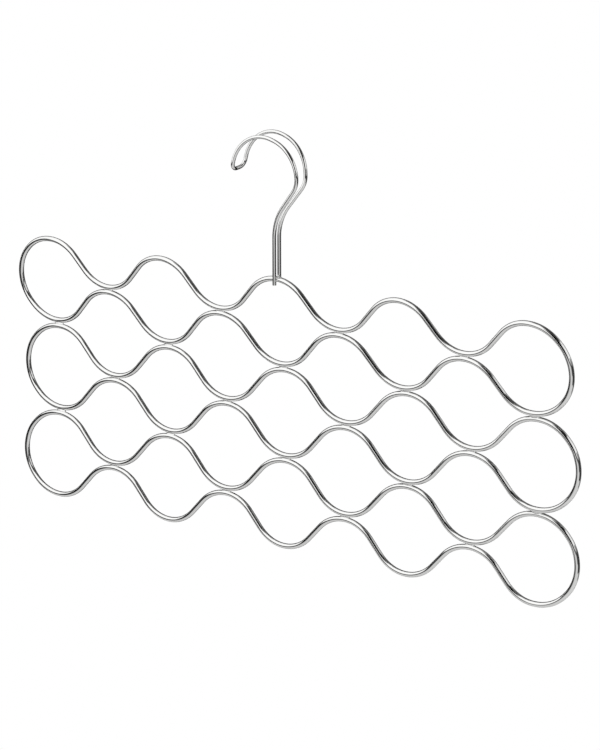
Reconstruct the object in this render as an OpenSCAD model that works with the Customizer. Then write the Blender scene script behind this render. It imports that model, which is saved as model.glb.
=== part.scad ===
// Scarf hanger of bright bent wire: three wavy closed loops welded one under another,
// and a hairpin hook of thinner wire whose two legs straddle the middle crest of the top loop.
// Origin: underside of the hook's crest, where it sits on a rod, midway between its two wires.
// +X to the right, +Y away from the viewer, +Z up. Millimetres.

/* [Wire] */
// Diameter of the wire of the three loops
loop_wire_d = 3.2; // [3:0.1:3.3]
// Diameter of the wire of the hook
hook_wire_d = 2.3; // [2:0.1:2.3]

/* [Loops] */
// Number of crests along a loop
crests = 5; // [3:2:7]
// Distance from one crest to the next
pitch = 90; // [88:1:96]
// Height of a wave, from trough to crest, at the wire's centre
wave_h = 24.8; // [22:0.1:25]
// Bend radius of the waves, at the wire's centre
wave_r = 25.3; // [24:0.1:25.5]
// Bend radius of the shoulders of the two end bulbs
shoulder_r = 27.5; // [26:0.1:28]
// Turn of each shoulder
shoulder_turn = 46.7; // [45:0.1:48]
// Gap between two wires at a weld, which the weld spot fills
weld_gap = 0.1; // [0.06:0.01:0.2]

/* [Stacking] */
// How far the middle loop sits to the right of the top one
middle_shift = 3.4; // [0:0.1:5]
// How far the bottom loop sits to the right of the top one
bottom_shift = 3.2; // [0:0.1:5]
// Lean of the top loop about its lower welds, its crests towards the viewer
top_lean = 5; // [0:0.1:6]
// Lean of the bottom loop about its upper welds, its troughs towards the viewer
bottom_lean = 2.2; // [0:0.1:4]
// Turn of the top loop about the upright, its left end away from the viewer
top_twist = 0.4; // [0:0.1:0.6]
// Turn of the bottom loop about the upright, its right end away from the viewer
bottom_twist = 0.5; // [0:0.1:0.6]

/* [Hook] */
// Offset of the stem to the right of the middle crest
stem_x = 0.4; // [-1:0.1:1]
// Height of the neck's corner above the middle crest
stem_h = 35.6; // [30:0.1:45]
// Spacing of the two legs at the stem, centre to centre
leg_spacing = 4.7; // [4.6:0.1:5.2]
// Spacing of the two wires at the throat, where the crook begins
throat_spacing = 8.3; // [6:0.1:9]
// Spacing of the two wires at the crest of the crook
crook_spacing = 11.8; // [9:0.1:12]
// Spacing of the two wires at the tip
tip_spacing = 12; // [11:0.1:13]
// How far the rear wire of the crook stands above the front one
rear_rise = 1.7; // [0:0.1:2]
// Lean of the neck from upright
neck_lean = 38.6; // [36:0.1:41]
// Length of the neck, corner to corner
neck_length = 29.8; // [28:0.1:36]
// Bend radius at the foot of the neck
neck_r = 30; // [20:0.5:32]
// Bend radius at the throat
throat_r = 12.4; // [10:0.1:13]
// Bend radius of the crook
crook_r = 22.6; // [20:0.1:22.8]
// Bend radius of the two corners of the tip
tip_r = 4.5; // [3.5:0.1:5]
// How far the front leg reaches below the middle of the crest it is welded to
front_leg_end = 3.5; // [2:0.1:5]
// How far the rear leg reaches below the middle of that crest
rear_leg_end = 2; // [2:0.1:5]

/* [Welds] */
// Diameter of a weld spot between two loop wires
weld_d = 3.2; // [2.6:0.1:3.2]
// Length of a weld spot, from the front of the wires to the back
weld_length = 2.6; // [2:0.1:2.8]
// Diameter of the weld between a leg of the hook and the crest
leg_weld_d = 3.8; // [3:0.1:4.4]
// Thickness of the weld between a leg of the hook and the crest
leg_weld_t = 1; // [0.9:0.1:1.2]

/* [Hidden] */
$fn = 48;

// A wire's bends have its full diameter. Its straights are thinner by this much all round, and
// reach this far into the bends at both ends, so that the wire joins up into one clean solid.
straight_relief = 0.02;
lap = 0.3;
// Space left between a weld spot and the wires it joins
weld_clearance = 0.01;
// A weld spot is never wider than the wire, or it would reach past it
spot_d = min(weld_d, loop_wire_d);
// Straight beside the outer crest, and straight between a shoulder and the end of a bulb
crest_flat = 0.7;
shoulder_flat = 1;

// A loop's own frame has its centre at the origin. Its wire runs along Y = 0.
half_spacing = (loop_wire_d + weld_gap) / 2;
loop_top = half_spacing + wave_h;
half_row = (crests - 1) / 2 * pitch;
wave_turn = atan2(pitch / 2, 2 * wave_r - wave_h)
            - acos(2 * wave_r / norm([pitch / 2, 2 * wave_r - wave_h]));
crest_z = loop_top - wave_r + wave_r / cos(wave_turn);
trough_z = half_spacing + wave_r - wave_r / cos(wave_turn);
shoulder_x = crest_flat + shoulder_r * tan(shoulder_turn / 2);
bulb_x = shoulder_x + loop_top / tan(shoulder_turn);
bulb_r = (loop_top / sin(shoulder_turn) - shoulder_r * tan(shoulder_turn / 2) - shoulder_flat)
         * tan(shoulder_turn);

// Corners of a loop, as [x, z, bend radius], clockwise from the left shoulder
half_waves = crests - 2;
left_crest = [[-half_row - shoulder_x, loop_top, shoulder_r],
              [-half_row + wave_r * tan(wave_turn / 2), loop_top, wave_r]];
waves = [for (k = [-half_waves : half_waves])
         [k * pitch / 2, (k + half_waves) % 2 == 0 ? trough_z : crest_z, wave_r]];
right_crest = [for (c = [left_crest[1], left_crest[0]]) [-c[0], c[1], c[2]]];
upper_run = concat(left_crest, waves, right_crest);
lower_run = [for (i = [len(upper_run) - 1 : -1 : 0])
             [upper_run[i][0], -upper_run[i][1], upper_run[i][2]]];
loop_corners = concat(upper_run, [[half_row + bulb_x, 0, bulb_r]],
                      lower_run, [[-half_row - bulb_x, 0, bulb_r]]);

// Corners of the hook's middle line, from the neck to the tip, as [x, z] from the middle crest
throat_heading = 95;
crook_heading = 164;
tip_heading = 255;
throat_length = 21.5;
crook_length = 39.9;
tip_length = 29;
function ahead(p, length, heading) = p + length * [cos(heading), sin(heading)];
neck_corner = [stem_x, stem_h];
throat_corner = ahead(neck_corner, neck_length, 90 - neck_lean);
crook_corner_1 = ahead(throat_corner, throat_length, throat_heading);
crook_corner_2 = ahead(crook_corner_1, crook_length, crook_heading);
tip_corner = ahead(crook_corner_2, tip_length, tip_heading);

// The rear wire's rise above the front one is less at the throat and at the tip
throat_rise = rear_rise / 5;
tip_rise = rear_rise * 2 / 3;

// One side of the hook, front (-1) or rear (1), as [x, y, z] from the middle crest
function side_point(p, side, spacing, rise) = [p[0], side * spacing / 2, p[1] + side * rise / 2];
function hook_side(side) = [
  side_point([stem_x, -(side < 0 ? front_leg_end : rear_leg_end)], side, leg_spacing, 0),
  side_point(neck_corner, side, leg_spacing, 0),
  side_point(throat_corner, side, throat_spacing, throat_rise),
  side_point(crook_corner_1, side, (throat_spacing + crook_spacing) / 2, rear_rise),
  side_point(crook_corner_2, side, (crook_spacing + tip_spacing) / 2, rear_rise),
  side_point(tip_corner, side, tip_spacing, tip_rise)];
side_radii = [0, neck_r, throat_r, crook_r, crook_r, tip_r];

// The crest of the crook, from the middle crest, is the highest point of its second bend
crest_setback = crook_r * tan((tip_heading - crook_heading) / 2);
crook_centre = ahead(ahead(crook_corner_2, -crest_setback, crook_heading),
                     crook_r, crook_heading + 90);
seat = [crook_centre[0], 0, crook_centre[1] + crook_r - hook_wire_d / 2];

// Places of the three loops' centres, and their turns, counted from the top
middle_y = 2 * loop_top * sin(top_lean);
middle_z = -2 * loop_top * cos(top_lean) - 2 * half_spacing - loop_top;
loop_centre = [
  [0, loop_top * sin(top_lean), -loop_top * cos(top_lean)],
  [middle_shift, middle_y, middle_z],
  [bottom_shift, middle_y - loop_top * sin(bottom_lean),
   middle_z - loop_top - 2 * half_spacing - loop_top * cos(bottom_lean)]];
loop_turn = [[top_lean, 0, -top_twist], [0, 0, 0], [-bottom_lean, 0, bottom_twist]];

function unit(v) = v / norm(v);
function slice(list, from, to) = [for (i = [from : to]) list[(i + len(list)) % len(list)]];
function setback(a, b, c, r) = r * tan(acos(unit(b - a) * unit(c - b)) / 2);

// A straight stretch of wire from a to b
module rod(a, b, d) {
  v = b - a;
  translate(a) rotate([0, acos(v.z / norm(v)), atan2(v.y, v.x)]) cylinder(d = d, h = norm(v));
}

// The bend of radius r that rounds corner b of the path from a through b to c
module bend(a, b, c, r, d) {
  along = unit(b - a);
  axis = unit(cross(along, c - b));
  inward = cross(axis, along);
  centre = b - along * setback(a, b, c, r) + r * inward;
  multmatrix([[-inward.x, along.x, axis.x, centre.x],
              [-inward.y, along.y, axis.y, centre.y],
              [-inward.z, along.z, axis.z, centre.z]])
    rotate_extrude(angle = acos(along * unit(c - b))) translate([r, 0]) circle(d = d);
}

// A wire along a path of corners, each rounded to its own radius
module bent_wire(corners, radii, d, closed = false) {
  n = len(corners);
  function corner(i) = corners[(i + n) % n];
  function radius(i) = radii[(i + n) % n];
  function is_bend(i) = closed || (i > 0 && i < n - 1);
  function cut(i) = is_bend(i) ? setback(corner(i - 1), corner(i), corner(i + 1), radius(i)) - lap : 0;
  for (i = [0 : n - 1]) if (is_bend(i)) bend(corner(i - 1), corner(i), corner(i + 1), radius(i), d);
  for (i = [0 : closed ? n - 1 : n - 2]) {
    along = unit(corner(i + 1) - corner(i));
    rod(corner(i) + along * cut(i), corner(i + 1) - along * cut(i + 1), d - 2 * straight_relief);
  }
}

function spatial(list) = [for (c = list) [c[0], 0, c[1]]];
function bend_radii(list) = [for (c = list) c[2]];

// Puts its children, drawn in a loop's own frame, at the place of loop k of the panel
module at_loop(k) translate(loop_centre[k] - seat) rotate(loop_turn[k]) children();

module loop(k)
  at_loop(k) bent_wire(spatial(loop_corners), bend_radii(loop_corners), loop_wire_d, closed = true);

// The stretch of a loop's wire between two of its corners, a little thicker, to cut a weld with
module loop_stretch(from, to, $fn = 240) {
  corners = slice(loop_corners, from, to);
  bent_wire(spatial(corners), bend_radii(corners), loop_wire_d + 2 * weld_clearance);
}

module weld_blank(p) translate(p) rotate([90, 0, 0]) cylinder(d = spot_d, h = weld_length, center = true);

// The spots that join the upper and lower runs of loop k where its troughs meet its lower crests
module neck_welds(k) at_loop(k) for (i = [0 : crests - 2]) {
  upper = 2 + 2 * i;
  lower = len(loop_corners) - 2 - upper;
  difference() {
    weld_blank([upper_run[upper][0], 0, 0]);
    loop_stretch(upper - 1, upper + 1);
    loop_stretch(lower - 1, lower + 1);
  }
}

// A point of loop k, given in the loop's own frame, as it lies in the part's frame
function turned(p, t) =
  let (q = [p.x, p.y * cos(t.x) - p.z * sin(t.x), p.y * sin(t.x) + p.z * cos(t.x)])
  [q.x * cos(t.z) - q.y * sin(t.z), q.x * sin(t.z) + q.y * cos(t.z), q.z];
function in_part(k, p) = loop_centre[k] - seat + turned(p, loop_turn[k]);

// The spots that join the troughs of loop k to the crests of the loop below it
module row_welds(k) for (i = [0 : crests - 1]) {
  x = (i - (crests - 1) / 2) * pitch;
  crest = 1 + 2 * i;
  first = i == 0 ? -1 : crest - 1;
  last = i == crests - 1 ? crest + 2 : crest + 1;
  // The same stretch on the lower run, which mirrors the upper one
  mirrored = len(loop_corners) - 2;
  difference() {
    weld_blank((in_part(k, [x, 0, -loop_top]) + in_part(k + 1, [x, 0, loop_top])) / 2);
    at_loop(k) loop_stretch(mirrored - last, mirrored - first);
    at_loop(k + 1) loop_stretch(first, last);
  }
}

// The middle crest of the top loop, a little thicker, to seat the hook's legs against
middle_crest = 1 + (crests - 1);
module crest_seat() at_loop(0) loop_stretch(middle_crest - 1, middle_crest + 1);

front_side = hook_side(-1);
rear_side = hook_side(1);
hook_path = concat(front_side, [for (i = [len(rear_side) - 1 : -1 : 0]) rear_side[i]]);
hook_radii = concat(side_radii, [for (i = [len(side_radii) - 1 : -1 : 0]) side_radii[i]]);

module hook_wire(d) translate(-seat) bent_wire(hook_path, hook_radii, d);
// The straight foot of one leg, a little thicker, to cut its weld with
module leg(side, $fn = 240) translate([stem_x, side * leg_spacing / 2, 0] - seat)
  rod([0, 0, -leg_weld_d], [0, 0, leg_weld_d], hook_wire_d + 2 * weld_clearance);

module top_loop() color("gainsboro") loop(0);
module middle_loop() color("lightgray") loop(1);
module bottom_loop() color("silver") loop(2);
module hook() color("gainsboro") difference() {
  hook_wire(hook_wire_d);
  crest_seat();
}
module top_neck_welds() color("darkgray") neck_welds(0);
module middle_neck_welds() color("darkgray") neck_welds(1);
module bottom_neck_welds() color("darkgray") neck_welds(2);
module upper_row_welds() color("darkgray") row_welds(0);
module lower_row_welds() color("darkgray") row_welds(1);
module hook_welds() color("darkgray") for (side = [-1, 1]) difference() {
  translate([stem_x, side * loop_wire_d / 2, 0] - seat)
    rotate([90, 0, 0]) cylinder(d = leg_weld_d, h = leg_weld_t, center = true);
  crest_seat();
  leg(side);
}

top_loop();
middle_loop();
bottom_loop();
hook();
top_neck_welds();
middle_neck_welds();
bottom_neck_welds();
upper_row_welds();
lower_row_welds();
hook_welds();
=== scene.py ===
"""The looks of a scarf hanger of bright chromed wire: three wavy loops, a hairpin hook and their welds.

Lengths on the hanger are in millimetres, as on a drawing, and turned into metres where a mesh is made.
Places and lengths in the studio are in metres.
"""

from math import acos, atan2, cos, hypot, pi, radians, sin, sqrt, tan

import bmesh
import bpy
import numpy as np
from mathutils import Matrix, Vector


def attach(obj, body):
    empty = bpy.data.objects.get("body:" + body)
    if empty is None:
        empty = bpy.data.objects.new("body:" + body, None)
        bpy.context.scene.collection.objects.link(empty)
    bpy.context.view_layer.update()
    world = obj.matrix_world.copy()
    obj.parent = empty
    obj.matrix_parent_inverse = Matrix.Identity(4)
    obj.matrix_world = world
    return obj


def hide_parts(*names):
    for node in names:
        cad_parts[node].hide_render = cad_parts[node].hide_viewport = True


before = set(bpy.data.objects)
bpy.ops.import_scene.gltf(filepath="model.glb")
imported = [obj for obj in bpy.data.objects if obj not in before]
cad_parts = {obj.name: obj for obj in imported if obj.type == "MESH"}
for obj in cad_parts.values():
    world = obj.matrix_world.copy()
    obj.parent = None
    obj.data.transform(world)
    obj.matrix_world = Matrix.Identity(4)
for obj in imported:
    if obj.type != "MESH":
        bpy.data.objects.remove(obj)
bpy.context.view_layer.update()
MM = 0.001

# Radius of each wire
LOOP_WIRE_R = 1.6
HOOK_WIRE_R = 1.15

# A loop: the number of its crests and the distance between them
CRESTS = 5
PITCH = 90.0
# Height and bend radius of its waves, at the wire's centre
WAVE_H = 24.8
WAVE_R = 25.3
# Bend radius and turn of the shoulders of its two end bulbs
SHOULDER_R = 27.5
SHOULDER_TURN = radians(46.7)
# Straight beside the outer crest, and straight between a shoulder and the end of a bulb
CREST_FLAT = 0.7
SHOULDER_FLAT = 1.0
# Half the distance between the middles of two wires that are welded together
HALF_SPACING = 1.65

# How far the lower loops sit to the right of the top one
MIDDLE_SHIFT = 3.4
BOTTOM_SHIFT = 3.2
# How far the top and bottom loops lean out of the middle one's plane, and turn about the upright
TOP_LEAN = radians(5.0)
BOTTOM_LEAN = radians(2.2)
TOP_TWIST = radians(0.4)
BOTTOM_TWIST = radians(0.5)

# The hook's stem, from the middle crest: its offset to the right, and the height of the neck's corner
STEM_X = 0.4
STEM_H = 35.6
# How far each leg reaches below the middle of the crest, by side: front (-1) and rear (1)
LEG_ENDS = {-1: 3.5, 1: 2.0}
# Spacing of the hook's two wires, centre to centre
LEG_SPACING = 4.7
THROAT_SPACING = 8.3
CROOK_SPACING = 11.8
TIP_SPACING = 12.0
# How far the rear wire stands above the front one: in the crook, and less at the throat and the tip
REAR_RISE = 1.7
THROAT_RISE = REAR_RISE / 5
TIP_RISE = REAR_RISE * 2 / 3
# Heading of each stretch of the hook in its own plane, counted from the right, upwards
NECK_HEADING = radians(90 - 38.6)
THROAT_HEADING = radians(95)
CROOK_HEADING = radians(164)
TIP_HEADING = radians(255)
# Length of each stretch, corner to corner
NECK_LENGTH = 29.8
THROAT_LENGTH = 21.5
CROOK_LENGTH = 39.9
TIP_LENGTH = 29.0
# Bend radius at each corner, at the wire's centre
NECK_R = 30.0
THROAT_R = 12.4
CROOK_R = 22.6
TIP_R = 4.5

# Step at which a path is drawn in its bends, and the least number of points in a bend
PATH_STEP = 0.25
MIN_BEND_POINTS = 3
# Points of a path that are closer than this are one point
SAME_POINT = 1e-9
# Step between the rings of a wire
LOOP_STEP = 1.2
HOOK_STEP = 0.8


def unit(v):
    return v / np.linalg.norm(v)


# Centrelines

def bend_samples(a, b, c, radius, step):
    """Points along the bend that rounds corner b of the path from a through b to c."""
    along, leaving = unit(b - a), unit(c - b)
    turn = acos(np.clip(along @ leaving, -1, 1))
    inward = np.cross(unit(np.cross(along, leaving)), along)
    start = b - along * radius * tan(turn / 2)
    count = max(MIN_BEND_POINTS, int(radius * turn / step) + 2)
    angles = np.linspace(0, turn, count)[:, None]
    return start + radius * inward + radius * (np.sin(angles) * along - np.cos(angles) * inward)


def rounded_path(corners, radii, step, closed=False):
    """Points along a path whose corners are rounded, close together in the bends."""
    n = len(corners)
    inner = range(n) if closed else range(1, n - 1)
    bends = [bend_samples(corners[i - 1], corners[i], corners[(i + 1) % n], radii[i], step)
             for i in inner]
    if closed:
        return np.concatenate(bends + [bends[0][:1]])
    return np.concatenate([corners[:1]] + bends + [corners[-1:]])


def even_steps(points, step):
    """The same path as points at even steps, ends kept."""
    gaps = np.linalg.norm(np.diff(points, axis=0), axis=1)
    keep = np.r_[True, gaps > SAME_POINT]
    along = np.r_[0, np.cumsum(gaps)][keep]
    at = np.linspace(0, along[-1], int(round(along[-1] / step)) + 1)
    return np.stack([np.interp(at, along, points[keep, i]) for i in range(3)], 1)


LOOP_TOP = HALF_SPACING + WAVE_H
HALF_ROW = (CRESTS - 1) / 2 * PITCH


def loop_path():
    """Corners and bend radii of a loop in its own frame, clockwise from the left shoulder."""
    rise = 2 * WAVE_R - WAVE_H
    wave_turn = atan2(PITCH / 2, rise) - acos(2 * WAVE_R / hypot(PITCH / 2, rise))
    # The corners of a wave lie beyond the rounded wire, at its troughs and its crests
    beyond = WAVE_R / cos(wave_turn) - WAVE_R
    levels = [HALF_SPACING - beyond, LOOP_TOP + beyond]
    shoulder_x = CREST_FLAT + SHOULDER_R * tan(SHOULDER_TURN / 2)
    bulb_x = shoulder_x + LOOP_TOP / tan(SHOULDER_TURN)
    bulb_r = tan(SHOULDER_TURN) * (LOOP_TOP / sin(SHOULDER_TURN) - SHOULDER_FLAT
                                   - SHOULDER_R * tan(SHOULDER_TURN / 2))
    left = [(-HALF_ROW - shoulder_x, LOOP_TOP, SHOULDER_R),
            (-HALF_ROW + WAVE_R * tan(wave_turn / 2), LOOP_TOP, WAVE_R)]
    half_waves = CRESTS - 2
    waves = [(k * PITCH / 2, levels[(k + half_waves) % 2], WAVE_R)
             for k in range(-half_waves, half_waves + 1)]
    upper = left + waves + [(-x, z, r) for x, z, r in reversed(left)]
    lower = [(x, -z, r) for x, z, r in reversed(upper)]
    corners = upper + [(HALF_ROW + bulb_x, 0, bulb_r)] + lower + [(-HALF_ROW - bulb_x, 0, bulb_r)]
    return np.array([(x, 0, z) for x, z, _ in corners]), [r for _, _, r in corners]


def ahead(p, length, heading):
    """The point at a distance from p in the hook's own plane."""
    return p + length * np.array([cos(heading), sin(heading)])


def hook_path():
    """Corners and bend radii of the hook from the middle crest, front leg first, and its seat."""
    neck = np.array([STEM_X, STEM_H])
    throat = ahead(neck, NECK_LENGTH, NECK_HEADING)
    crook_1 = ahead(throat, THROAT_LENGTH, THROAT_HEADING)
    crook_2 = ahead(crook_1, CROOK_LENGTH, CROOK_HEADING)
    tip = ahead(crook_2, TIP_LENGTH, TIP_HEADING)

    # The seat is the underside of the wire at the highest point of the crook's second bend
    setback = CROOK_R * tan((TIP_HEADING - CROOK_HEADING) / 2)
    centre = ahead(ahead(crook_2, -setback, CROOK_HEADING), CROOK_R, CROOK_HEADING + pi / 2)
    seat = np.array([centre[0], 0, centre[1] + CROOK_R - HOOK_WIRE_R])

    # Place, spacing and rise of the two wires at each corner, from the neck to the tip
    stations = [(neck, LEG_SPACING, 0),
                (throat, THROAT_SPACING, THROAT_RISE),
                (crook_1, (THROAT_SPACING + CROOK_SPACING) / 2, REAR_RISE),
                (crook_2, (CROOK_SPACING + TIP_SPACING) / 2, REAR_RISE),
                (tip, TIP_SPACING, TIP_RISE)]
    radii = [0, NECK_R, THROAT_R, CROOK_R, CROOK_R, TIP_R]

    def side(sign):
        foot = [((STEM_X, -LEG_ENDS[sign]), LEG_SPACING, 0)]
        return [(p[0], sign * spacing / 2, p[1] + sign * rise / 2)
                for p, spacing, rise in foot + stations]

    return np.array(side(-1) + side(1)[::-1]), radii + radii[::-1], seat


HOOK_CORNERS, HOOK_RADII, SEAT = hook_path()
MIDDLE_Y = 2 * LOOP_TOP * sin(TOP_LEAN)
MIDDLE_Z = -2 * LOOP_TOP * cos(TOP_LEAN) - 2 * HALF_SPACING - LOOP_TOP
# Centre from the middle crest, lean and twist of each loop, from the top down
LOOPS = {
    "top_loop": ((0, LOOP_TOP * sin(TOP_LEAN), -LOOP_TOP * cos(TOP_LEAN)), TOP_LEAN, -TOP_TWIST),
    "middle_loop": ((MIDDLE_SHIFT, MIDDLE_Y, MIDDLE_Z), 0.0, 0.0),
    "bottom_loop": ((BOTTOM_SHIFT, MIDDLE_Y - LOOP_TOP * sin(BOTTOM_LEAN),
                     MIDDLE_Z - LOOP_TOP - 2 * HALF_SPACING - LOOP_TOP * cos(BOTTOM_LEAN)),
                    -BOTTOM_LEAN, BOTTOM_TWIST),
}


def in_part(loop, points):
    """Points of a loop's own frame as they lie on the hanger, whose origin is the hook's seat."""
    centre, lean, twist = LOOPS[loop]
    turn = np.array(Matrix.Rotation(twist, 3, "Z") @ Matrix.Rotation(lean, 3, "X"))
    return np.asarray(points, float) @ turn.T + np.array(centre) - SEAT


LOOP_LINE = rounded_path(*loop_path(), PATH_STEP, closed=True)
LOOP_LINES = {name: in_part(name, LOOP_LINE) for name in LOOPS}
HOOK_LINE = rounded_path(HOOK_CORNERS, HOOK_RADII, PATH_STEP) - SEAT


# Meshes

def mesh_piece(name, bm, node, material):
    """Turns a mesh in the making into a piece that stands for a solid."""
    bmesh.ops.recalc_face_normals(bm, faces=bm.faces)
    mesh = bpy.data.meshes.new(name)
    bm.to_mesh(mesh)
    bm.free()
    obj = bpy.data.objects.new(name, mesh)
    bpy.context.scene.collection.objects.link(obj)
    mesh.materials.append(material)
    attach(obj, "root")
    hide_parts(node)


def verts(bm, points):
    """Points in millimetres, as the corners of a mesh in the making."""
    return [bm.verts.new(p * MM) for p in points]


def skin(bm, rings, flat=()):
    """Faces between rings of points, smooth but for those that start at the points named."""
    n = len(rings[0])
    for first, second in zip(rings, rings[1:]):
        for i in range(n):
            j = (i + 1) % n
            face = bm.faces.new((first[i], first[j], second[j], second[i]))
            face.smooth = i not in flat


# The wires are a hair thinner than their solids, so that they stay inside them
WIRE_SHRINK = 0.003
WIRE_SIDES = 28
# No wire starts along this direction, so its first side direction is worked out from it
ASIDE = (0, 1.0, 0.02)
# The broken edge of a wire's end: its width, and how far in and out its three rings are, as shares of that
CHAMFER = 0.22
CHAMFER_IN = np.array([0, 0.3, 1.0])
CHAMFER_OUT = np.array([0, 0.7, 1.0])


def frames_along(line, closed):
    """Tangent and two side directions at each point, turning as little as possible."""
    if closed:
        tangents = np.roll(line, -1, 0) - np.roll(line, 1, 0)
    else:
        tangents = np.gradient(line, axis=0)
    tangents /= np.linalg.norm(tangents, axis=1)[:, None]
    side = unit(np.cross(tangents[0], ASIDE))
    sides = []
    for t in tangents:
        side = unit(side - t * (side @ t))
        sides.append(side)
    sides = np.array(sides)
    return tangents, sides, np.cross(tangents, sides)


def ring(bm, centre, side, other, radius):
    """Points round a wire's centre."""
    angles = np.arange(WIRE_SIDES) * 2 * pi / WIRE_SIDES
    return verts(bm, centre + radius * (np.cos(angles)[:, None] * side
                                        + np.sin(angles)[:, None] * other))


def closed_wire(line, radius):
    """A round wire along a line that ends where it starts."""
    bm = bmesh.new()
    line = line[:-1]
    tangents, a, b = frames_along(line, closed=True)
    rings = [ring(bm, *row, radius) for row in zip(line, a, b)]
    # The frame comes back to its start a little turned, so the last ring meets the first one rotated
    back = a[-1] - tangents[0] * (a[-1] @ tangents[0])
    twist = atan2(back @ b[0], back @ a[0])
    offset = round(twist / (2 * pi / WIRE_SIDES)) % WIRE_SIDES
    skin(bm, rings + [rings[0][offset:] + rings[0][:offset]])
    return bm


def open_wire(line, radius):
    """A round wire along a line, with flat ends whose edges are just broken."""
    bm = bmesh.new()
    tangents, a, b = frames_along(line, closed=False)
    edge = list(zip(CHAMFER * CHAMFER_IN, radius - CHAMFER + CHAMFER * CHAMFER_OUT))
    start = [(line[0] + tangents[0] * inset, a[0], b[0], size) for inset, size in edge]
    end = [(line[-1] - tangents[-1] * inset, a[-1], b[-1], size) for inset, size in edge]
    middle = [(*row, radius) for row in zip(line[1:-1], a[1:-1], b[1:-1])]
    rings = [ring(bm, *row) for row in start + middle + end[::-1]]
    skin(bm, rings)
    bm.faces.new(rings[0][::-1])
    bm.faces.new(rings[-1])
    return bm


# Welds between two loop wires: a web of melted metal with a hollow face at the front and at the back,
# deepest where the wires are closest and running out to left and right. It is sunk a hair into both.
WEB_HALF_LENGTH = 3.4
WEB_HALF_DEPTH = 0.9
WEB_SINK = 0.03
# The wires are looked at only this far from a weld's centre
WEB_SEARCH = 2.5 * WEB_HALF_LENGTH
# Stations lie along a web as the sines of even angles do, up to this share of a half turn each way
WEB_STATIONS = 25
WEB_SPAN = 0.49
WEB_ARC_POINTS = 11


def web_section(middle, across, up, half_gap, half_depth):
    """The web's outline in one plane across the wires: two hollow arcs, tangent to both wires."""
    r = LOOP_WIRE_R - WEB_SINK
    angle = pi / 2 - 2 * atan2(r - half_depth, half_gap)
    arc_r = half_gap / cos(angle) - r
    arc_y = half_gap * tan(angle)
    turns = np.linspace(pi / 2 - angle, angle - pi / 2, WEB_ARC_POINTS)
    y, z = arc_r * np.cos(turns) - arc_y, arc_r * np.sin(turns)
    front = middle + y[:, None] * across + z[:, None] * up
    back = middle - y[::-1, None] * across + z[::-1, None] * up
    return np.concatenate([front, back])


def weld_web(bm, centre, lines):
    """A web at a centre between the two wires that pass just above and just below it."""
    near = [line[np.linalg.norm(line - centre, axis=1) < WEB_SEARCH] for line in lines]
    above, below = [line[np.argsort(line[:, 0])] for line in near]
    rings = []
    for offset in WEB_HALF_LENGTH * np.sin(np.linspace(-WEB_SPAN, WEB_SPAN, WEB_STATIONS) * pi):
        x = centre[0] + offset
        top, bottom = [np.array([x, np.interp(x, p[:, 0], p[:, 1]), np.interp(x, p[:, 0], p[:, 2])])
                       for p in (above, below)]
        up = unit(top - bottom)
        across = unit(np.cross(up, [1.0, 0, 0]))
        half_gap = np.linalg.norm(top - bottom) / 2
        half_depth = WEB_HALF_DEPTH * sqrt(1 - (offset / WEB_HALF_LENGTH) ** 2)
        rings.append(verts(bm, web_section((top + bottom) / 2, across, up, half_gap, half_depth)))
    skin(bm, rings, flat=(WEB_ARC_POINTS - 1, 2 * WEB_ARC_POINTS - 1))
    bm.faces.new(rings[0])
    bm.faces.new(rings[-1][::-1])


def neck_webs(loop):
    """The welds where a loop's troughs meet its own lower crests."""
    bm = bmesh.new()
    upper = LOOP_LINE[LOOP_LINE[:, 2] > 0]
    halves = [in_part(loop, upper * [1, 1, side]) for side in (1, -1)]
    for i in range(CRESTS - 1):
        weld_web(bm, in_part(loop, [(i + 0.5) * PITCH - HALF_ROW, 0, 0]), halves)
    return bm


def row_webs(upper_loop, lower_loop):
    """The welds where the troughs of one loop meet the crests of the loop below."""
    bm = bmesh.new()
    lines = [LOOP_LINES[upper_loop], LOOP_LINES[lower_loop]]
    for i in range(CRESTS):
        x = i * PITCH - HALF_ROW
        trough = in_part(upper_loop, [x, 0, -LOOP_TOP])
        crest = in_part(lower_loop, [x, 0, LOOP_TOP])
        weld_web(bm, (trough + crest) / 2, lines)
    return bm


# Welds between the hook's legs and the middle crest of the top loop: each is a bead that fills the corner
# between two crossing wires. The fill is widest at the bead's centre and all but runs out at its reach.
BEAD_REACH = 3.0
BEAD_FILL = 1.5
BEAD_LEAST_FILL = 1e-3
BEAD_SINK = 0.03
BEAD_SUBDIVISIONS = 5
BEAD_HALVINGS = 24


def wire_distance(points, start, direction, radius):
    """How far points lie outside a straight wire."""
    gap = points - start
    return np.linalg.norm(gap - (gap @ direction)[:, None] * direction, axis=1) - radius


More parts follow.
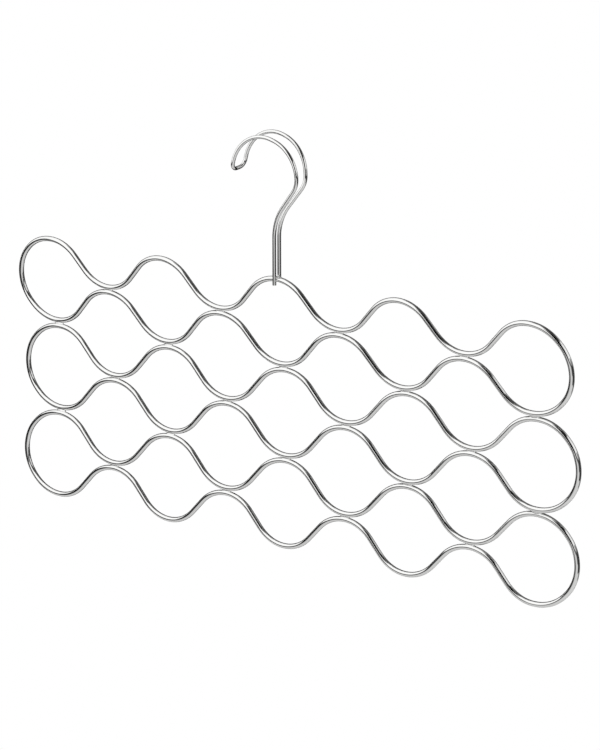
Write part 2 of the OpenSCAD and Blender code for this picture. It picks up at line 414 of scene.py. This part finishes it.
def weld_bead(bm, side):
    """The bead of the front (-1) or rear (1) leg, found outwards from a point inside both wires."""
    up = np.array([0, 0, 1.0])
    along_crest = np.array([cos(TOP_TWIST), -sin(TOP_TWIST), 0])
    foot = np.array([STEM_X, side * LEG_SPACING / 2, 0]) - SEAT
    inside_both = side * (LOOP_WIRE_R + LEG_SPACING / 2 - HOOK_WIRE_R) / 2
    centre = np.array([STEM_X, inside_both, 0]) - SEAT
    made = bmesh.ops.create_icosphere(bm, subdivisions=BEAD_SUBDIVISIONS, radius=1)["verts"]
    rays = np.array([v.co for v in made])
    low, high = np.zeros(len(rays)), np.full(len(rays), BEAD_REACH)
    for _ in range(BEAD_HALVINGS):
        middle = (low + high) / 2
        points = centre + rays * middle[:, None]
        to_leg = wire_distance(points, foot, up, HOOK_WIRE_R)
        to_crest = wire_distance(points, -SEAT, along_crest, LOOP_WIRE_R)
        fill = BEAD_FILL * np.clip(1 - (middle / BEAD_REACH) ** 2, BEAD_LEAST_FILL, 1)
        blend = np.clip(fill - np.abs(to_leg - to_crest), 0, None) ** 2 / (4 * fill)
        below_foot = -LEG_ENDS[side] + BEAD_SINK - points[:, 2] - SEAT[2]
        distance = np.maximum(np.minimum(to_leg, to_crest) - blend + BEAD_SINK, below_foot)
        inside = distance < 0
        low, high = np.where(inside, middle, low), np.where(inside, high, middle)
    for vert, point in zip(made, centre + rays * low[:, None]):
        vert.co = point * MM
        for face in vert.link_faces:
            face.smooth = True


def leg_beads():
    """The welds of the hook's two legs."""
    bm = bmesh.new()
    for side in (-1, 1):
        weld_bead(bm, side)
    return bm


# Materials
CHROME_COLOUR = (0.92, 0.92, 0.91)
# The plate's tint varies between its colour and this share of it
TINT_LEAST = 0.95
# Its roughness varies between these shares of what a finish is given
HAZE_LEAST = 0.7
HAZE_MOST = 1.4
# Height of its ripple, in metres
RIPPLE_HEIGHT = 0.0002
# Scale per metre and detail of each noise, and the values between which a noise mostly stays
TINT_NOISE = (120, 3)
HAZE_NOISE = (260, 4)
RIPPLE_NOISE = (900, 2)
NOISE_LOW = 0.3
NOISE_HIGH = 0.7


def chrome(name, roughness, ripple):
    """Bright chrome plate: nearly a mirror, with the faint ripple and haze of plated drawn wire."""
    mat = bpy.data.materials.new(name)
    mat.use_nodes = True
    nodes, links = mat.node_tree.nodes, mat.node_tree.links
    shader = nodes["Principled BSDF"]
    shader.inputs["Metallic"].default_value = 1.0
    place = nodes.new("ShaderNodeTexCoord")

    def noise(scale, detail):
        node = nodes.new("ShaderNodeTexNoise")
        node.inputs["Scale"].default_value = scale
        node.inputs["Detail"].default_value = detail
        links.new(place.outputs["Object"], node.inputs["Vector"])
        return node.outputs["Fac"]

    tint = nodes.new("ShaderNodeMix")
    tint.data_type = "RGBA"
    tint.inputs["A"].default_value = (*[c * TINT_LEAST for c in CHROME_COLOUR], 1)
    tint.inputs["B"].default_value = (*CHROME_COLOUR, 1)
    links.new(noise(*TINT_NOISE), tint.inputs["Factor"])
    links.new(tint.outputs["Result"], shader.inputs["Base Color"])

    haze = nodes.new("ShaderNodeMapRange")
    haze.inputs["From Min"].default_value = NOISE_LOW
    haze.inputs["From Max"].default_value = NOISE_HIGH
    haze.inputs["To Min"].default_value = roughness * HAZE_LEAST
    haze.inputs["To Max"].default_value = roughness * HAZE_MOST
    links.new(noise(*HAZE_NOISE), haze.inputs["Value"])
    links.new(haze.outputs["Result"], shader.inputs["Roughness"])

    bump = nodes.new("ShaderNodeBump")
    bump.inputs["Strength"].default_value = ripple
    bump.inputs["Distance"].default_value = RIPPLE_HEIGHT
    links.new(noise(*RIPPLE_NOISE), bump.inputs["Height"])
    links.new(bump.outputs["Normal"], shader.inputs["Normal"])
    return mat


LOOP_CHROME = chrome("loop_chrome", roughness=0.03, ripple=0.01)
HOOK_CHROME = chrome("hook_chrome", roughness=0.03, ripple=0.01)
WELD_CHROME = chrome("weld_chrome", roughness=0.10, ripple=0.06)

# The rows of welds between two loops
ROWS = {
    "upper_row_welds": ("top_loop", "middle_loop"),
    "lower_row_welds": ("middle_loop", "bottom_loop"),
}


def make_panel():
    """The three loops and the welds that join them."""
    for loop, line in LOOP_LINES.items():
        wire = closed_wire(even_steps(line, LOOP_STEP), LOOP_WIRE_R - WIRE_SHRINK)
        mesh_piece(loop + "_wire", wire, loop, LOOP_CHROME)
        neck = loop.replace("_loop", "_neck_welds")
        mesh_piece(neck + "_web", neck_webs(loop), neck, WELD_CHROME)
    for row, (above, below) in ROWS.items():
        mesh_piece(row + "_web", row_webs(above, below), row, WELD_CHROME)


def make_hook():
    """The hook and the welds that hold its legs."""
    wire = open_wire(even_steps(HOOK_LINE, HOOK_STEP), HOOK_WIRE_R - WIRE_SHRINK)
    mesh_piece("hook_wire", wire, "hook", HOOK_CHROME)
    mesh_piece("hook_welds_bead", leg_beads(), "hook_welds", WELD_CHROME)


# The camera looks at a point of the panel, from the right and a little above
CAMERA_TARGET = Vector((0.0193, 0.0047, -0.1421))
CAMERA_DISTANCE = 1.9237
CAMERA_AZIMUTH = radians(38.0)
CAMERA_ELEVATION = radians(14.66)
CAMERA_ROLL = radians(-0.09)
# Focal length, in millimetres
CAMERA_LENS = 155.65


def make_camera():
    away = cos(CAMERA_ELEVATION)
    back = Vector((sin(CAMERA_AZIMUTH) * away, -cos(CAMERA_AZIMUTH) * away, sin(CAMERA_ELEVATION)))
    right = Vector((0, 0, 1)).cross(back).normalized()
    up = back.cross(right)
    c, s = cos(CAMERA_ROLL), sin(CAMERA_ROLL)
    axes = Matrix((c * right + s * up, c * up - s * right, back)).transposed()
    data = bpy.data.cameras.new("camera")
    data.lens = CAMERA_LENS
    obj = bpy.data.objects.new("camera", data)
    obj.matrix_world = Matrix.Translation(CAMERA_TARGET + back * CAMERA_DISTANCE) @ axes.to_4x4()
    bpy.context.scene.collection.objects.link(obj)
    bpy.context.scene.camera = obj


# The studio, as bright wire mirrors it: a light tent round the object, with two large soft boxes, a pale
# table below, and dark gaps between them. Each panel is a patch of the tent, seen from its middle, as
# azimuth range, elevation range and brightness. Azimuth 0 is towards -Y, and it grows towards +X. Later
# panels lie over earlier ones, and one that reaches past 360 degrees starts again at 0.
PANELS = {
    "table": ((-180, 540), (-95, -34), 0.62),
    "table_front": ((2, 98), (-62, -2), 0.68),
    "ceiling": ((38, 200), (44, 95), 0.14),
    "ceiling_gap": ((36, 148), (42, 76), 0.04),
    "left_wall": ((240, 286), (8, 80), 0.85),
    "left_softbox": ((276, 382), (-4, 74), 1.10),
    "camera_side": ((8, 60), (-1, 45), 0.0),
    "right_wall": ((112, 152), (11, 43), 0.60),
    "right_softbox": ((84, 108), (17, 43), 1.20),
    "softbox_side": ((60, 76), (4, 37), 1.05),
    "stand_edge": ((54, 72), (-12, 8), 0.15),
    "right_stand": ((70, 132), (-24, 6), 0.04),
    "table_edge_1": ((280, 305), (-20, 4), 0.0),
    "table_edge_2": ((304, 338), (-28, -6), 0.02),
    "table_edge_3": ((346, 362), (-18, 2), 0.0),
    "table_glare": ((272, 282), (-56, -36), 1.0),
}
# The dark room behind lies over them all, as an oval: azimuth, elevation, half width, half height
DARK_BEHIND = (212.0, -10.0, 62.0, 55.0)
DARK = 0.0
# Half the width of a panel's soft edge, in degrees
PANEL_EDGE = 1.5
# Brightness of the tent where no panel lies
TENT_AIR = 0.25
TENT_RADIUS = 0.65
TENT_SUBDIVISIONS = 5
DEGREES = 180 / pi


def tent_material():
    """A glow that only reflections see, patched together from the panels."""
    mat = bpy.data.materials.new("studio_tent")
    mat.use_nodes = True
    nodes, links = mat.node_tree.nodes, mat.node_tree.links
    nodes.clear()

    def calc(operation, a, b=None):
        node = nodes.new("ShaderNodeMath")
        node.operation = operation
        for socket, value in zip(node.inputs, (a, b)):
            if isinstance(value, float):
                socket.default_value = value
            elif value is not None:
                links.new(value, socket)
        return node.outputs["Value"]

    def ramp(value, edge, low, high, soft=PANEL_EDGE):
        """Goes smoothly from low to high as a value passes an edge."""
        node = nodes.new("ShaderNodeMapRange")
        node.interpolation_type = "SMOOTHSTEP"
        node.inputs["From Min"].default_value = edge - soft
        node.inputs["From Max"].default_value = edge + soft
        node.inputs["To Min"].default_value = low
        node.inputs["To Max"].default_value = high
        links.new(value, node.inputs["Value"])
        return node.outputs["Result"]

    def between(value, low, high):
        return calc("MULTIPLY", ramp(value, low, 0.0, 1.0), ramp(value, high, 1.0, 0.0))

    def over(level, mask, brightness):
        """Lays a patch of one brightness over what is there, where its mask is 1."""
        mix = nodes.new("ShaderNodeMix")
        links.new(mask, mix.inputs["Factor"])
        mix.inputs["B"].default_value = brightness
        if isinstance(level, float):
            mix.inputs["A"].default_value = level
        else:
            links.new(level, mix.inputs["A"])
        return mix.outputs["Result"]

    place = nodes.new("ShaderNodeTexCoord").outputs["Object"]
    direction = nodes.new("ShaderNodeVectorMath")
    direction.operation = "NORMALIZE"
    links.new(place, direction.inputs[0])
    parts = nodes.new("ShaderNodeSeparateXYZ")
    links.new(direction.outputs["Vector"], parts.inputs["Vector"])
    x, y, z = parts.outputs
    azimuth = calc("MULTIPLY", calc("ARCTAN2", x, calc("MULTIPLY", y, -1.0)), DEGREES)
    azimuth = calc("MODULO", calc("ADD", azimuth, 360.0), 360.0)
    elevation = calc("MULTIPLY", calc("ARCSINE", z), DEGREES)

    level = TENT_AIR
    for (az_low, az_high), (el_low, el_high), brightness in PANELS.values():
        mask = between(azimuth, az_low, az_high)
        if az_high > 360:
            mask = calc("MAXIMUM", mask, ramp(azimuth, az_high - 360, 1.0, 0.0))
        mask = calc("MULTIPLY", mask, between(elevation, el_low, el_high))
        level = over(level, mask, brightness)

    az, el, half_width, half_height = DARK_BEHIND
    from_middle = [calc("DIVIDE", calc("SUBTRACT", angle, middle), half)
                   for angle, middle, half in ((azimuth, az, half_width), (elevation, el, half_height))]
    out = calc("SQRT", calc("ADD", *[calc("MULTIPLY", v, v) for v in from_middle]))
    soft = PANEL_EDGE / min(half_width, half_height)
    level = over(level, ramp(out, 1, 1.0, 0.0, soft), DARK)

    glow = nodes.new("ShaderNodeEmission")
    links.new(level, glow.inputs["Color"])
    clear = nodes.new("ShaderNodeBsdfTransparent")
    choose = nodes.new("ShaderNodeMixShader")
    links.new(nodes.new("ShaderNodeLightPath").outputs["Is Glossy Ray"], choose.inputs["Fac"])
    links.new(clear.outputs["BSDF"], choose.inputs[1])
    links.new(glow.outputs["Emission"], choose.inputs[2])
    output = nodes.new("ShaderNodeOutputMaterial")
    links.new(choose.outputs["Shader"], output.inputs["Surface"])
    return mat


def stage_piece(name, bm, location, material):
    """Turns a mesh in the making into a part of the studio."""
    mesh = bpy.data.meshes.new(name)
    bm.to_mesh(mesh)
    bm.free()
    obj = bpy.data.objects.new(name, mesh)
    obj.location = location
    bpy.context.scene.collection.objects.link(obj)
    mesh.materials.append(material)


def make_tent():
    """A dome round the object that only reflections see."""
    bm = bmesh.new()
    bmesh.ops.create_icosphere(bm, subdivisions=TENT_SUBDIVISIONS, radius=TENT_RADIUS)
    stage_piece("studio_tent", bm, CAMERA_TARGET, tent_material())


# A plain pale floor, well below the hanger and out of the camera's view
FLOOR_Z = -0.95
FLOOR_RADIUS = 1.2
FLOOR_SEGMENTS = 128
FLOOR_COLOUR = (0.84, 0.84, 0.84)
FLOOR_ROUGHNESS = 0.9


def floor_paint():
    mat = bpy.data.materials.new("floor_paint")
    mat.use_nodes = True
    shader = mat.node_tree.nodes["Principled BSDF"]
    shader.inputs["Base Color"].default_value = (*FLOOR_COLOUR, 1)
    shader.inputs["Roughness"].default_value = FLOOR_ROUGHNESS
    return mat


def make_floor():
    bm = bmesh.new()
    bmesh.ops.create_circle(bm, cap_ends=True, segments=FLOOR_SEGMENTS, radius=FLOOR_RADIUS)
    stage_piece("floor", bm, (0, 0, FLOOR_Z), floor_paint())


# One soft lamp: its place and width in metres, and its power in watts
LAMP_PLACE = Vector((-0.2, -0.3, 1.2))
LAMP_WIDTH = 0.5
LAMP_POWER = 4.0


def make_lights():
    """Even white light from all round, and the lamp overhead for a gentle shadow."""
    world = bpy.data.worlds.new("studio")
    bpy.context.scene.world = world
    world.use_nodes = True
    world.node_tree.nodes["Background"].inputs["Color"].default_value = (1, 1, 1, 1)
    data = bpy.data.lights.new("overhead", "AREA")
    data.shape = "DISK"
    data.size = LAMP_WIDTH
    data.energy = LAMP_POWER
    lamp = bpy.data.objects.new("overhead", data)
    lamp.location = LAMP_PLACE
    lamp.rotation_euler = (LAMP_PLACE - CAMERA_TARGET).to_track_quat("Z", "Y").to_euler()
    bpy.context.scene.collection.objects.link(lamp)


make_panel()
make_hook()
make_camera()
make_tent()
make_floor()
make_lights()
bpy.context.scene.view_settings.view_transform = "Standard"
